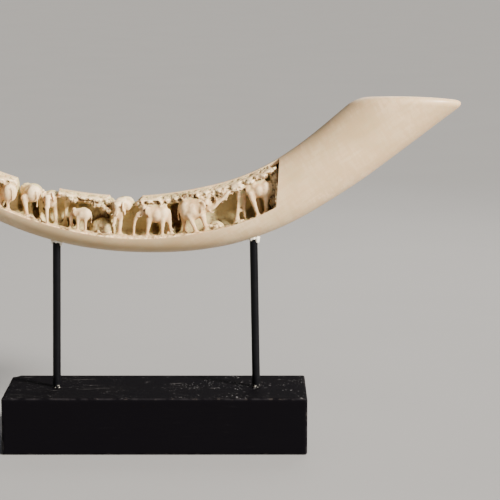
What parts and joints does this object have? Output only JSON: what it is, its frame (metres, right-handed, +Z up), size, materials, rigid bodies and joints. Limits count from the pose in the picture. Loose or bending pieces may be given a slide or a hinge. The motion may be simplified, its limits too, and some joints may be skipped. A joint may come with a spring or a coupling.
{
  "type": "tusk ornament",
  "caption": "Cast ivory-coloured elephant tusk, its hollowed middle carved as a procession of elephants, held on thin black rods over a black wooden block.",
  "frame": {"origin": "middle of the wooden block's underside", "axes": "+X along the block, from the tusk's tip towards its thick cut root; +Y away from the carved side; +Z up"},
  "size_m": [0.4312, 0.07, 0.2572],
  "materials": {
    "ivory_resin": "cast resin: satin ivory skin, rough carving with a brown wash in its hollows",
    "black_metal": "satin black paint",
    "black_wood": "worn satin black paint"
  },
  "bodies": {
    "root": {"tusk": "ivory_resin", "rod_left": "black_metal", "rod_right": "black_metal", "base": "black_wood"}
  },
  "joints": []
}
